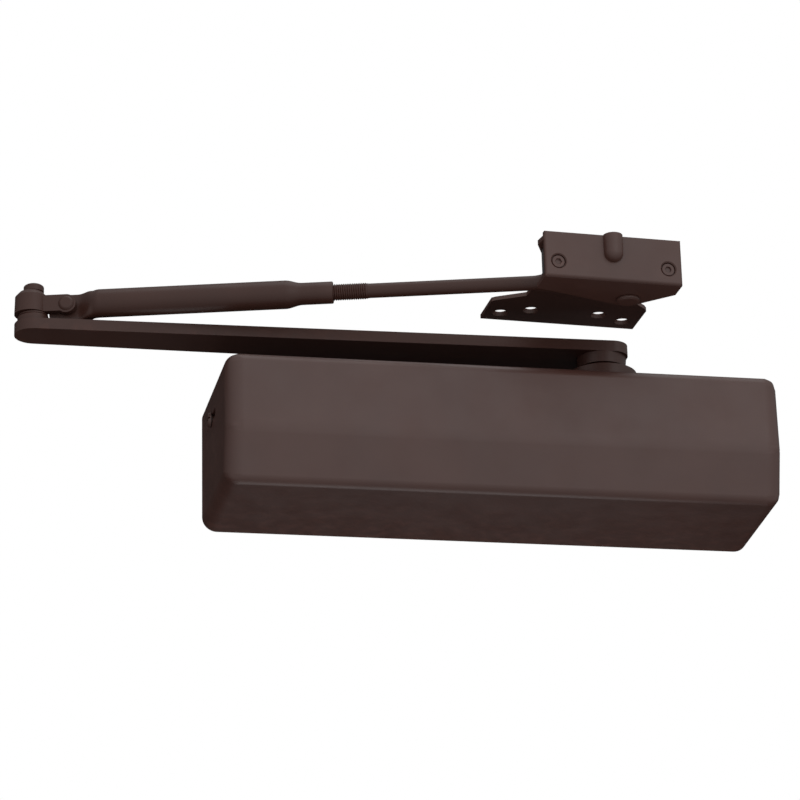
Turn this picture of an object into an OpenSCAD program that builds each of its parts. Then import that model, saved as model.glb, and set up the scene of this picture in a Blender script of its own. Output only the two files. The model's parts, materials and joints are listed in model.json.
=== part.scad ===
// Surface door closer for a parallel-arm mounting.
// X runs along the cover, Y points into the door, Z is up.
// The origin is the centre of the body's screw pattern, on the door's face.

/* [Cover] */
// Length of the cover
cover_l = 322; // [321:1:340]
// Height of the cover
cover_h = 75; // [72:1:80]
// Depth of the cover at its top edge
cover_top_d = 91.2; // [89.2:1:100]
// Depth of the cover at the crease
cover_crease_d = 92.6; // [91.6:1:104]
// Depth of the cover at its bottom edge
cover_bottom_d = 84; // [83:0.5:90]
// Height of the crease above the cover's bottom
crease_h = 30.5; // [26.5:1:36.5]
// Wall of the cover
cover_wall = 2.2; // [1.6:0.1:2.4]

/* [Body] */
// Half the length of the cylinder
cylinder_half = 132; // [130:1:134]
// Radius of the cylinder's bore
bore_r = 19; // [19:0.5:20]
// Distance from the door to the cylinder and spindle axes
axis_d = 46; // [46:0.5:47]
// Hole spacing along the door
hole_span_x = 285.75; // [284:0.25:288]
// Hole spacing up the door
hole_span_z = 19.05; // [19:0.05:20]
// Radius of the mounting holes
hole_r = 3.5; // [3.2:0.1:3.8]

/* [Spindle and rack] */
// Distance from the body's middle to the spindle
spindle_x = 66.5; // [65:0.5:68]
// Radius of the spindle's journals
journal_r = 9; // [8.5:0.1:9]
// Gear module
gear_module = 2; // [2:1:2]
// Teeth on the pinion
pinion_teeth = 11; // [11:1:11]

/* [Main arm] */
// Distance from spindle to elbow
arm_l = 328.7; // [320:0.1:336]
// Angle between the arm and the door in the closed position
arm_angle = 0.8; // [0:0.1:2]
// Thickness of the arm's bar
arm_t = 6.5; // [6:0.1:6.6]
// Radius of the hub
hub_r = 14.6; // [14.4:0.1:16]
// Half the arm's width at the elbow
arm_end_half = 11.6; // [11:0.1:12.5]
// Height of the arm's top face
arm_top_z = 68.7; // [68.6:0.1:69]

/* [Forearm] */
// Distance from elbow to shoe pin
forearm_l = 336.2; // [330:0.1:342]
// Angle between the forearm and the door in the closed position
forearm_angle = 14; // [13:0.1:18]
// Height of the forearm's centre line
forearm_z = 80.2; // [80.2:0.1:80.6]
// Radius of the forearm's tube
tube_r = 8.1; // [7.8:0.1:8.2]
// Radius of the tube's narrow end
tube_neck_r = 6.3; // [6:0.1:7]
// Radius of the rod's thread
thread_r = 4.7; // [4.6:0.1:4.8]
// Pitch of the rod's thread
thread_pitch = 1.25; // [1:0.25:1.5]

/* [Shoe] */
// Turn of the shoe from square to the door
shoe_turn = 3; // [0:0.5:3]
// Width of the shoe housing
housing_w = 79.2; // [79:0.1:82]
// Height of the shoe housing
housing_h = 24.8; // [24.8:0.1:26]
// Sheet thickness of the housing
sheet_t = 3; // [2.5:0.1:3]
// Width of the soffit plate
plate_w = 93; // [92:0.5:95]
// Thickness of the soffit plate
plate_t = 2.4; // [2.2:0.1:3]
// Spacing of the soffit plate's outer holes
outer_span = 74; // [73:0.5:76]
// Spacing of the soffit plate's inner holes
inner_span = 41; // [40:0.5:42]

/* [Hidden] */
$fn = 96;

bronze = [0.24, 0.18, 0.16];
cast_grey = [0.35, 0.36, 0.38];
steel = [0.62, 0.63, 0.65];
spring_steel = [0.45, 0.46, 0.5];
brass = [0.75, 0.6, 0.3];
seal_black = [0.08, 0.08, 0.08];

gap = 0.05;

// cover
cover_back_gap = 0.5;
top_edge_r = 6;
bottom_edge_r = 5.5;
crease_r = 22;
cover_bottom = -36.5;
cover_top = cover_bottom + cover_h;
crease_z = crease_h + cover_bottom;
end_front_r = 10;
end_draft = 2.4;
end_corner_r = 5;
slot_z = 18;
slot_near_d = 21;
slot_far_d = 51;
slot_half = 2.6;
cover_screw_d = (slot_near_d + slot_far_d) / 2;
notch_r = 18;
bracket_x = cover_l / 2 - end_draft - cover_wall;
bracket_screw_x = bracket_x - 5.2;
bracket_screw_z = 16.2;
screw_head_x = cover_l / 2 - 0.5;

// body
cylinder_r = 26;
foot_t = 14;
foot_end = 155;
foot_half_h = 20;
boss_r = 20;
boss_top = 33;
bearing_r = 14;
bearing_in = 20;
bearing_out = 31;
valve_xs = [24, 96, 112];
valve_r = 4;
valve_z = -18;
valve_inner_d = 63;
ridge_d = 76;

// springs, piston and seat
piston_left = 36;
piston_right = 122;
pinion_h = 20;
pitch_r = gear_module * pinion_teeth / 2;
pressure = 25;
addendum = 0.9 * gear_module;
dedendum = 1.15 * gear_module;
backlash = 0.3;
seat_left = -112;
seat_t = 8;
plug_t = 12;
right_plug_t = 8;
screw_r = 4;

// spindle and hub
cap_top = 51.4;
hub_bottom = 56;
hub_bottom_r = 13.9;
square_w = 13;
spindle_top = arm_top_z - 2.6;
skirt_r = 20.2;
skirt_t = 1;
skirt_drop = 1.2;
skirt_bottom = 46.5;

// elbow
elbow_pos = [spindle_x - arm_l * cos(arm_angle), -axis_d + arm_l * sin(arm_angle)];
stud_r = 5;
flange_r = 9;
flange_top = arm_top_z + 4.8;
washer_t = 1;
knuckle_r = 9.5;
knuckle_waist_r = 9.2;
knuckle_shift = 1.3;
knuckle_bottom = flange_top + washer_t + 0.3;
knuckle_side_top = 85.4;
knuckle_top = 88.2;
cap_screw_r = 5.8;
cap_screw_top = 93;
arm_end_l = 10.6;
arm_end_corner_r = 11.4;
arm_shoulder_l = 14;
arm_shoulder = 3;
hub_corner_r = 10;

// forearm, measured from the elbow along the forearm
rivet_u = 19.4;
rivet_z = 79.2;
rivet_r = 3.2;
rivet_head_r = 4.6;
rivet_head_h = 1.3;
rivet_back = 5.4;
tongue_t = 5;
tongue_back = -0.3;
tongue_front = tongue_back - tongue_t;
tongue_end_r = 5.5;
flat_l = 9.2;
flat_near = 0.1;
flat_far = 5.1;
flat_corner_r = 4;
flat_bottom = rivet_z - 9;
flat_top = rivet_z + 7.6;
flat_u = 25.2;
shrink = 0.06;
round_u = 38;
tube_end_u = 143.5;
neck_start_u = 153;
neck_end_u = 170.6;
bore_start_u = 95;
thread_start_u = 120;
thread_end_u = 191.2;
rod_r = 4.15;
blade_u = 283;
eye_r = 10;
eye_half_h = 8;

// shoe, measured from the pin
pin_pos = [elbow_pos[0] + forearm_l * cos(forearm_angle),
    elbow_pos[1] - forearm_l * sin(forearm_angle)];
pin_r = 5;
pin_head_r = 6.6;
shoe_mid = -14.8;
front_y = -23.9;
housing_left = shoe_mid - housing_w / 2;
housing_right = shoe_mid + housing_w / 2;
housing_bottom = forearm_z - housing_h / 2;
housing_top = forearm_z + housing_h / 2;
wall_top = housing_top + plate_t - 0.2;
left_depth = 18;
right_depth = 14;
ear_depth = 8.6;
ear_reach = 1.4;
nose_r = 9.8;
pressed_boss_r = 5.5;
boss_bottom = forearm_z + 4;
shoe_screw_z = forearm_z - 3;
shoe_screw_span = 63.4;
screw_well_r = 4.1;
screw_well = 2.4;
shoe_screw_xs = [shoe_mid - shoe_screw_span / 2, shoe_mid + shoe_screw_span / 2];
plate_mid = shoe_mid + 2;
plate_left = plate_mid - plate_w / 2;
plate_right = plate_mid + plate_w / 2;
plate_back = 98.4;
plate_front = 70.6;
outer_y = 88.4;
inner_y = 81.4;
neck_inset = 18;
neck_rise = 9.5;
plate_hole_r = 3.6;
plate_sink_r = 4.6;
plunger_y = -14.2;
plunger_r = 4.5;
plunger_tip = -13.2;
block_t = 11;

function polar(r, a) = [r * cos(a), r * sin(a)];

// How far an involute from the base circle has turned at radius r
function involute_angle(r, base) = sqrt(pow(r / base, 2) - 1) * 180 / PI - acos(base / r);

module bar_x(r, x0, x1) translate([x0, 0, 0]) rotate([0, 90, 0]) cylinder(r = r, h = x1 - x0);
module bar_y(r, y0, y1) translate([0, y0, 0]) rotate([-90, 0, 0]) cylinder(r = r, h = y1 - y0);
module block(low, high) translate(low) cube(high - low);
module at_spindle() translate([spindle_x, -axis_d, 0]) children();
module at_elbow() translate([elbow_pos[0], elbow_pos[1], 0]) children();
module along_arm() at_spindle() rotate([0, 0, 180 - arm_angle]) children();
module along_forearm() at_elbow() rotate([0, 0, -forearm_angle]) children();
module at_pin() translate([pin_pos[0], pin_pos[1], 0]) rotate([0, 0, shoe_turn]) children();
module both_ends() {
    children();
    mirror([1, 0, 0]) children();
}

// A flat bar between two round ends, with straight sides tangent to both
module tapered_bar(length, r1, r2, thick) {
    lean = asin((r1 - r2) / length);
    cylinder(r = r1, h = thick);
    translate([length, 0, 0]) cylinder(r = r2, h = thick);
    linear_extrude(thick) polygon([
        polar(r1, 90 - lean), [length, 0] + polar(r2, 90 - lean),
        [length, 0] + polar(r2, lean - 90), polar(r1, lean - 90)]);
}

// A coil spring along X, built ring by ring
module coil_spring(length, mean_r, wire_r, turns, steps, sides) {
    rings = turns * steps;
    points = [for (i = [0:rings]) let (a = 360 * i / steps, x = wire_r + (length - 2 * wire_r) * i / rings)
        for (j = [0:sides - 1]) let (b = 360 * j / sides, r = mean_r + wire_r * cos(b))
            [x + wire_r * sin(b), r * cos(a), r * sin(a)]];
    walls = [for (i = [0:rings - 1], j = [0:sides - 1]) let (k = (j + 1) % sides)
        [i * sides + j, (i + 1) * sides + j, (i + 1) * sides + k, i * sides + k]];
    first = [for (j = [0:sides - 1]) j];
    last = [for (j = [sides - 1:-1:0]) rings * sides + j];
    polyhedron(points, concat([first], walls, [last]), convexity = turns * 2);
}

// The cover's outline seen from its end: depth along X, height along Y
module cover_side(grow) hull() {
    translate([-20, cover_bottom - grow]) square([25, cover_h + 2 * grow]);
    translate([cover_top_d - top_edge_r, cover_top - top_edge_r]) circle(top_edge_r + grow);
    translate([cover_crease_d - crease_r, crease_z + 0.12 * crease_r]) circle(crease_r + grow);
    translate([cover_bottom_d - bottom_edge_r, cover_bottom + bottom_edge_r]) circle(bottom_edge_r + grow);
}

// The cover's outline seen from above
module cover_plan(grow) hull() both_ends() {
    translate([0, -10]) square([cover_l / 2 + grow, 30]);
    translate([cover_l / 2 - end_draft - end_front_r, end_front_r - cover_crease_d]) circle(end_front_r + grow);
}

// The cover's outline seen from the front
module cover_front(grow) hull() both_ends() for (side = [-1, 1])
    translate([cover_l / 2 - end_corner_r, (cover_bottom + cover_top) / 2 + side * (cover_h / 2 - end_corner_r)])
            circle(end_corner_r + grow);

module cover_solid(grow) intersection() {
    translate([-cover_l, 0, 0]) rotate([90, 0, 90]) linear_extrude(2 * cover_l)
        mirror([1, 0]) cover_side(grow, $fn = 64);
    translate([0, 0, -cover_h]) linear_extrude(2 * cover_h) cover_plan(grow, $fn = 64);
    translate([0, 30, 0]) rotate([90, 0, 0]) linear_extrude(200) cover_front(grow, $fn = 64);
}

module cover() color(bronze) difference() {
    cover_solid(0);
    cover_solid(-cover_wall);
    block([-cover_l, -cover_back_gap, -cover_h], [cover_l, 40, cover_h]);
    at_spindle() cylinder(r = notch_r, h = cover_h);
    at_spindle() block([-notch_r, 0, 0], [notch_r, 60, cover_h]);
    both_ends() for (d = [slot_near_d + slot_half, slot_far_d - slot_half])
        translate([0, -d, slot_z]) bar_x(slot_half, cover_l / 2 - 10, cover_l / 2 + 10);
    both_ends() block([cover_l / 2 - 10, slot_half - slot_far_d, slot_z - slot_half],
        [cover_l / 2 + 10, -slot_near_d - slot_half, slot_z + slot_half]);
}

module mounting_holes() both_ends() for (side = [-1, 1])
    translate([hole_span_x / 2, 0, side * hole_span_z / 2]) bar_y(hole_r, -40, 10);

module closer_body() color(cast_grey) difference() {
    union() {
        translate([0, -axis_d, 0]) bar_x(cylinder_r, -cylinder_half, cylinder_half);
        block([-cylinder_half, -axis_d, -foot_half_h], [cylinder_half, 0, foot_half_h]);
        both_ends() block([cylinder_half - 5, -foot_t, -foot_half_h], [foot_end, 0, foot_half_h]);
        at_spindle() translate([0, 0, -boss_top]) cylinder(r = boss_r, h = 2 * boss_top);
        block([valve_xs[0] - 10, -ridge_d, valve_z - 7], [valve_xs[2] + 10, -axis_d, valve_z + 7]);
    }
    translate([0, -axis_d, 0]) bar_x(bore_r, -cylinder_half - 1, cylinder_half + 1);
    at_spindle() translate([0, 0, -boss_top - 1]) cylinder(r = bearing_r, h = 2 * boss_top + 2);
    mounting_holes();
    for (x = valve_xs) translate([x, 0, valve_z]) bar_y(valve_r + gap, -ridge_d - 1, -valve_inner_d);
    both_ends() translate([bracket_screw_x, 0, bracket_screw_z]) bar_y(1.5, -foot_t - 1, -foot_t + 7);
}

module cover_brackets() color(steel) both_ends() difference() {
    union() {
        block([bracket_x - 2, -foot_t - 42, 10], [bracket_x, -foot_t, 26]);
        block([bracket_x - 8.2, -foot_t - 2, 10], [bracket_x - 1, -foot_t, 26]);
    }
    translate([bracket_screw_x, 0, bracket_screw_z]) bar_y(1.7, -foot_t - 5, -foot_t + 1);
    translate([0, -cover_screw_d, slot_z]) bar_x(2.4, bracket_x - 5, bracket_x + 5);
}

module bracket_screws() color(steel) both_ends() translate([bracket_screw_x, 0, bracket_screw_z]) {
    bar_y(1.5, -foot_t - 2, -foot_t + 6);
    bar_y(2.7, -foot_t - 3.6, -foot_t - 2);
}

module cover_screws() color(bronze) both_ends() translate([0, -cover_screw_d, slot_z]) difference() {
    union() {
        bar_x(2.35, bracket_x - 6, screw_head_x);
        translate([screw_head_x, 0, 0]) rotate([0, 90, 0]) cylinder(r1 = 4.4, r2 = 3.6, h = 1.8);
    }
    block([screw_head_x + 0.8, -5, -0.5], [screw_head_x + 5, 5, 0.5]);
}

module left_end_plug() color(cast_grey) translate([0, -axis_d, 0]) difference() {
    union() {
        bar_x(bore_r - 0.02, -cylinder_half, plug_t - cylinder_half);
        translate([-cylinder_half - 3, 0, 0]) rotate([0, 90, 0]) cylinder(r = 12, h = 4, $fn = 6);
    }
    bar_x(screw_r + gap, -cylinder_half - 10, plug_t - cylinder_half + 1);
    seal_groove(plug_t - cylinder_half - 5);
}

module right_end_plug() color(cast_grey) translate([0, -axis_d, 0]) difference() {
    union() {
        bar_x(bore_r - 0.02, cylinder_half - right_plug_t, cylinder_half);
        translate([cylinder_half - 1, 0, 0]) rotate([0, 90, 0]) cylinder(r = 12, h = 4, $fn = 6);
    }
    seal_groove(cylinder_half - right_plug_t + 2);
}

module seal_groove(x) difference() {
    bar_x(bore_r + 1, x, x + 2.4);
    bar_x(bore_r - 2, x - 1, x + 4);
}

module seal_ring(x, inner, outer) difference() {
    bar_x(outer, x + 0.1, x + 2.3);
    bar_x(inner, x - 1, x + 4);
}

module end_seals() color(seal_black) translate([0, -axis_d, 0]) {
    seal_ring(plug_t - cylinder_half - 5, bore_r - 2, bore_r);
    seal_ring(cylinder_half - right_plug_t + 2, bore_r - 2, bore_r);
}

module spindle_ring(inner, outer, z0, z1) at_spindle() translate([0, 0, z0]) difference() {
    cylinder(r = outer, h = z1 - z0);
    translate([0, 0, -1]) cylinder(r = inner, h = z1 - z0 + 2);
}

module upper_bearing() color(steel) spindle_ring(journal_r + gap, bearing_r, bearing_in, bearing_out);
module lower_bearing() color(steel) spindle_ring(journal_r + gap, bearing_r, -bearing_out, -bearing_in);

module upper_spindle_cap() color(bronze) difference() {
    union() {
        spindle_ring(journal_r + 0.3, hub_r, boss_top, cap_top);
        spindle_ring(journal_r + 0.3, bearing_r - 0.02, bearing_out, boss_top + 1);
    }
    spindle_ring(journal_r, journal_r + 2.5, 46, 49);
}

module lower_spindle_cap() color(cast_grey) at_spindle()
    translate([0, 0, -boss_top]) cylinder(r = bearing_r - 0.02, h = boss_top - bearing_out);

module spindle_seal() color(seal_black) spindle_ring(journal_r + gap, journal_r + 2.5, 46.1, 48.9);

// One tooth of the pinion, centred on +X
module pinion_tooth() {
    base = pitch_r * cos(pressure);
    tip = pitch_r + addendum;
    half = 90 / pinion_teeth - backlash / pitch_r * 45 / PI + involute_angle(pitch_r, base);
    steps = 5;
    flank = [for (i = [0:steps]) let (r = base + (tip - base) * i / steps) [r, half - involute_angle(r, base)]];
    foot = pitch_r - dedendum - 1;
    polygon(concat(
        [polar(foot, half)], [for (p = flank) polar(p[0], p[1])],
        [for (i = [steps:-1:0]) polar(flank[i][0], -flank[i][1])], [polar(foot, -half)]));
}

module spindle() color(steel) at_spindle() difference() {
    union() {
        translate([0, 0, 0.5 - bearing_out]) cylinder(r = journal_r, h = bearing_out - 0.5 - pinion_h / 2);
        translate([0, 0, -pinion_h / 2 - 0.5]) cylinder(r = pitch_r - dedendum, h = pinion_h + 1);
        translate([0, 0, -pinion_h / 2]) linear_extrude(pinion_h)
            for (i = [0:pinion_teeth - 1]) rotate(90 + 360 * i / pinion_teeth) pinion_tooth();
        translate([0, 0, pinion_h / 2]) cylinder(r = journal_r, h = cap_top + 1 - pinion_h / 2);
        rotate([0, 0, 45 - arm_angle]) intersection() {
            translate([0, 0, (cap_top + spindle_top) / 2])
                cube([square_w, square_w, spindle_top - cap_top], center = true);
            translate([0, 0, cap_top]) cylinder(r = journal_r - 0.2, h = spindle_top);
        }
    }
    translate([0, 0, spindle_top - 20]) cylinder(r = 4, h = 30);
}

rack_pitch = PI * gear_module;

// Straight-sided rack space, opening towards -Y, centred on X = 0
module rack_space() {
    half = rack_pitch / 4 + backlash / 4;
    slope = tan(pressure);
    polygon([
        [-half - (addendum + 1) * slope, -addendum - 1], [-half + dedendum * slope, dedendum],
        [half - dedendum * slope, dedendum], [half + (addendum + 1) * slope, -addendum - 1]]);
}

slot_start = spindle_x - pitch_r - 3.5;
slot_end = spindle_x + pitch_r + 36;
rack_top = pitch_r - addendum;

module piston() color(steel) translate([0, -axis_d, 0]) difference() {
    bar_x(bore_r - gap, piston_left, piston_right);
    block([slot_start, -13.5, -bore_r - 1], [slot_end, rack_top, bore_r + 1]);
    for (i = [-1:6]) translate([spindle_x + i * rack_pitch, pitch_r, -bore_r - 1])
        linear_extrude(2 * bore_r + 2) rack_space();
    ring_groove();
    bar_x(4.02, slot_end - 1, piston_right + 1);
}

ring_x = piston_left + 6;

module ring_groove() difference() {
    bar_x(bore_r + 1, ring_x, ring_x + 2.6);
    bar_x(bore_r - 2, ring_x - 1, ring_x + 4);
}

module piston_ring() color(seal_black) translate([0, -axis_d, 0]) difference() {
    bar_x(bore_r - gap / 2, ring_x + 0.1, ring_x + 2.5);
    bar_x(bore_r - 2, ring_x - 1, ring_x + 4);
}

module check_valve() color(brass) translate([0, -axis_d, 0]) {
    difference() {
        bar_x(4, piston_right - 7, piston_right);
        bar_x(1.2, piston_right - 10, piston_right + 1);
        bar_x(2.6, piston_right - 10, piston_right - 3);
    }
    translate([piston_right - 4.9, 0, 0]) sphere(r = 1.9, $fn = 48);
}

spring_start = seat_left + seat_t;
spring_l = piston_left - spring_start;

module outer_spring() color(spring_steel) translate([spring_start, -axis_d, 0])
    coil_spring(spring_l, 15.6, 2.1, 11, 18, 6);
module inner_spring() color(spring_steel) translate([spring_start, -axis_d, 0])
    coil_spring(spring_l, 9.3, 1.5, 14, 14, 6);

module spring_seat() color(steel) translate([0, -axis_d, 0]) difference() {
    bar_x(bore_r - 0.4, seat_left, seat_left + seat_t);
    bar_x(screw_r + gap, seat_left - 1, seat_left + seat_t + 1);
}

module power_screw() color(steel) translate([0, -axis_d, 0]) difference() {
    union() {
        bar_x(screw_r, -cylinder_half - 7, -70);
        bar_x(7, plug_t - cylinder_half + 0.3, plug_t - cylinder_half + 3);
    }
    translate([-cylinder_half - 8, 0, 0]) rotate([0, 90, 0]) cylinder(r = 2.3, h = 6, $fn = 6);
}

module valve(x) color(brass) translate([x, 0, valve_z]) difference() {
    union() {
        bar_y(valve_r, -ridge_d - 1.5, -valve_inner_d - 4);
        translate([0, -valve_inner_d - 4, 0]) rotate([-90, 0, 0]) cylinder(r1 = valve_r, r2 = 1.5, h = 3.5);
    }
    translate([0, -ridge_d - 2.5, 0]) rotate([-90, 0, 0]) cylinder(r = 2, h = 4, $fn = 6);
}

module sweep_valve() valve(valve_xs[2]);
module latch_valve() valve(valve_xs[1]);
module backcheck_valve() valve(valve_xs[0]);

module dust_skirt() color(bronze) at_spindle() rotate_extrude() polygon([
    [journal_r + 0.3, hub_bottom - skirt_t], [hub_r - 0.6, hub_bottom - skirt_drop - skirt_t],
    [skirt_r - skirt_t, cap_top], [skirt_r - skirt_t, skirt_bottom], [skirt_r, skirt_bottom],
    [skirt_r, cap_top + 1], [hub_r, hub_bottom - skirt_drop], [journal_r + 0.3, hub_bottom - 0.1]]);

// The arm's bar: straight tapered sides, with round corners at both ends
module arm_bar() {
    corner_x = arm_l + arm_end_l - arm_end_corner_r;
    corner_y = arm_end_half - arm_end_corner_r;
    hub_corner = hub_r - hub_corner_r;
    linear_extrude(arm_t) union() {
        circle(r = hub_r);
        for (side = [-1, 1]) translate([-hub_corner, side * hub_corner]) circle(r = hub_corner_r);
        translate([-hub_r, -hub_corner]) square([hub_r, 2 * hub_corner]);
        translate([-hub_corner, 0.01 - hub_r]) square([hub_corner + 0.1, 2 * hub_r - 0.02]);
        polygon([[0, hub_r - 0.01], [corner_x, arm_end_half], [corner_x, -arm_end_half],
            [arm_shoulder_l, -hub_r - arm_shoulder], [0, 0.01 - hub_r]]);
        for (side = [-1, 1]) translate([corner_x, side * corner_y]) circle(r = arm_end_corner_r);
        translate([corner_x - 1, -corner_y]) square([arm_end_corner_r + 1, 2 * corner_y]);
    }
}

module main_arm() color(bronze) along_arm() difference() {
    union() {
        translate([0, 0, arm_top_z - arm_t]) arm_bar();
        translate([0, 0, hub_bottom]) cylinder(r1 = hub_bottom_r, r2 = hub_r, h = arm_top_z - arm_t - hub_bottom);
    }
    rotate([0, 0, 45]) translate([-square_w / 2 - 0.05, -square_w / 2 - 0.05, hub_bottom - 1])
        cube([square_w + 0.1, square_w + 0.1, spindle_top - hub_bottom + 1.2]);
    translate([0, 0, hub_bottom]) cylinder(r = 4.1, h = 20);
    translate([0, 0, arm_top_z - 2.5]) cylinder(r1 = 4.6, r2 = 7.1, h = 2.5);
    translate([0, 0, arm_top_z - 0.01]) cylinder(r = 7.1, h = 1);
    translate([arm_l, 0, arm_top_z - arm_t + 1]) cylinder(r = stud_r, h = arm_t);
}

module arm_screw() color(bronze) at_spindle() difference() {
    union() {
        translate([0, 0, spindle_top - 18]) cylinder(r = 3.95, h = arm_top_z - spindle_top + 17);
        translate([0, 0, arm_top_z - 2.45]) cylinder(r1 = 4.5, r2 = 6.9, h = 2.4);
    }
    translate([0, 0, arm_top_z - 3]) cylinder(r = 2.6, h = 4, $fn = 6);
}

module elbow_stud() color(bronze) at_elbow() difference() {
    union() {
        translate([0, 0, arm_top_z - arm_t + 1]) cylinder(r = stud_r - 0.02, h = knuckle_top - arm_top_z + arm_t - 1);
        translate([0, 0, arm_top_z]) cylinder(r = flange_r, h = flange_top - arm_top_z - 0.8);
        translate([0, 0, flange_top - 0.8]) cylinder(r1 = flange_r, r2 = flange_r - 0.8, h = 0.8);
    }
    translate([0, 0, knuckle_top - 10]) cylinder(r = 2.5, h = 12);
}

module elbow_washer() color(bronze) at_elbow() difference() {
    translate([0, 0, flange_top]) cylinder(r = flange_r - 0.6, h = washer_t);
    cylinder(r = stud_r + 0.1, h = 120);
}

module elbow_cap() color(bronze) at_elbow() {
    translate([0, 0, knuckle_top - 8]) cylinder(r = 2.45, h = 8.4);
    translate([0, 0, knuckle_top + 0.3]) cylinder(r = cap_screw_r, h = cap_screw_top - knuckle_top - 1.3);
    translate([0, 0, cap_screw_top - 1]) cylinder(r1 = cap_screw_r, r2 = cap_screw_r - 1.4, h = 1);
}

module elbow_knuckle() color(bronze) along_forearm() difference() {
    union() {
        translate([-knuckle_shift, 0, knuckle_bottom])
            cylinder(r1 = knuckle_r, r2 = knuckle_waist_r, h = knuckle_side_top - knuckle_bottom);
        translate([-knuckle_shift, 0, knuckle_side_top])
            cylinder(r1 = knuckle_waist_r, r2 = 6.8, h = knuckle_top - knuckle_side_top);
        block([4, tongue_front, knuckle_bottom], [rivet_u, tongue_back, rivet_z + tongue_end_r]);
        translate([rivet_u, 0, rivet_z]) bar_y(tongue_end_r, tongue_front, tongue_back);
    }
    cylinder(r = stud_r + gap - 0.02, h = 120);
    translate([rivet_u, 0, rivet_z]) bar_y(rivet_r, -20, 5);
}

module tongue_rivet() color(bronze) along_forearm() translate([rivet_u, 0, rivet_z]) {
    bar_y(rivet_r - 0.02, tongue_front, rivet_back);
    translate([0, rivet_back, 0]) rotate([-90, 0, 0]) cylinder(r1 = rivet_head_r, r2 = rivet_r, h = rivet_head_h);
    translate([0, tongue_front, 0]) rotate([90, 0, 0]) cylinder(r1 = rivet_head_r, r2 = rivet_r, h = rivet_head_h);
}

module forearm_tube() color(bronze) along_forearm() difference() {
    union() {
        for (z = [flat_bottom + flat_corner_r, flat_top - flat_corner_r])
            translate([rivet_u - flat_l + flat_corner_r, 0, z]) bar_y(flat_corner_r, flat_near, flat_far);
        block([rivet_u - flat_l, flat_near, flat_bottom + flat_corner_r],
            [rivet_u, flat_far, flat_top - flat_corner_r]);
        block([rivet_u - flat_l + flat_corner_r, flat_near, flat_bottom], [flat_u + 0.3, flat_far, flat_top]);
        hull() {
            block([flat_u, flat_near + shrink, flat_bottom + shrink],
                [flat_u + 0.6, flat_far - shrink, flat_top - shrink]);
            translate([0, 0, forearm_z]) bar_x(tube_r - shrink, round_u, round_u + 1, $fn = 32);
        }
        translate([0, 0, forearm_z]) bar_x(tube_r, round_u, tube_end_u);
        translate([tube_end_u, 0, forearm_z]) rotate([0, 90, 0])
            cylinder(r1 = tube_r, r2 = tube_neck_r, h = neck_start_u - tube_end_u);
        translate([0, 0, forearm_z]) bar_x(tube_neck_r, neck_start_u, neck_end_u);
    }
    translate([0, 0, forearm_z]) bar_x(thread_r + gap, bore_start_u, neck_end_u + 1);
    translate([rivet_u, 0, rivet_z]) bar_y(rivet_r + 0.03, -3, 10);
}

thread_depth = 0.55;
thread_turns = floor((thread_end_u - thread_start_u) / thread_pitch);

module forearm_rod() color(bronze) along_forearm() difference() {
    union() {
        translate([0, 0, forearm_z]) rotate([0, 90, 0]) rotate_extrude() polygon(concat(
            [[0, thread_start_u]],
            [for (i = [0:thread_turns - 1]) each [
                [thread_r - thread_depth, thread_start_u + i * thread_pitch],
                [thread_r, thread_start_u + (i + 0.4) * thread_pitch],
                [thread_r, thread_start_u + (i + 0.6) * thread_pitch]]],
            [[rod_r, thread_end_u], [rod_r, forearm_l - eye_r + 1], [0, forearm_l - eye_r + 1]]));
        translate([0, 0, forearm_z - 5]) linear_extrude(10) polygon([
            [blade_u, -rod_r], [blade_u + 12, -7.5], [forearm_l, -eye_r],
            [forearm_l, eye_r], [blade_u + 12, 7.5], [blade_u, rod_r]]);
        translate([forearm_l, 0, forearm_z - eye_half_h]) cylinder(r = eye_r, h = 2 * eye_half_h);
        translate([forearm_l, 0, forearm_z - 4]) tapered_bar(14.5, 6, 3.6, 8);
    }
    translate([forearm_l, 0, 0]) cylinder(r = pin_r + 2, h = 120);
}

module pin_bushing() color(brass) at_pin() translate([0, 0, forearm_z - eye_half_h]) difference() {
    cylinder(r = pin_r + 1.98, h = 2 * eye_half_h);
    translate([0, 0, -1]) cylinder(r = pin_r + gap, h = 3 * eye_half_h);
}

// One flange of the housing: deep at the pin, shallow at the ends
module flange(z, left_edge) translate([0, 0, z]) {
    linear_extrude(sheet_t) polygon(concat(left_edge, [
        polar(nose_r, 106), polar(nose_r, 50),
        [housing_right, front_y + right_depth], [housing_right, front_y]]));
    cylinder(r = nose_r, h = sheet_t);
}

lower_left_edge = [[housing_left, front_y], [housing_left, front_y + left_depth]];
upper_left_edge = [[housing_left, front_y], [housing_left - ear_reach, front_y + ear_depth],
    [housing_left + 4, front_y + left_depth + 2]];

module shoe_housing() color(bronze) at_pin() difference() {
    union() {
        block([housing_left, front_y, housing_bottom], [housing_right, front_y + sheet_t, wall_top]);
        flange(housing_bottom, lower_left_edge);
        flange(housing_top - sheet_t, upper_left_edge);
        translate([shoe_mid, front_y, boss_bottom]) cylinder(r = pressed_boss_r, h = wall_top - boss_bottom);
        translate([shoe_mid, front_y, boss_bottom]) sphere(r = pressed_boss_r);
    }
    translate([shoe_mid, front_y, boss_bottom]) cylinder(r = pressed_boss_r - 2, h = 40);
    block([shoe_mid - 8, front_y + sheet_t, boss_bottom - 8], [shoe_mid + 8, front_y + 12, housing_top - sheet_t]);
    for (x = shoe_screw_xs) translate([x, 0, shoe_screw_z]) {
        bar_y(2.5, front_y - 5, front_y + 10);
        bar_y(screw_well_r, front_y - 5, front_y + screw_well);
    }
    cylinder(r = pin_r, h = 120);
}

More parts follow.
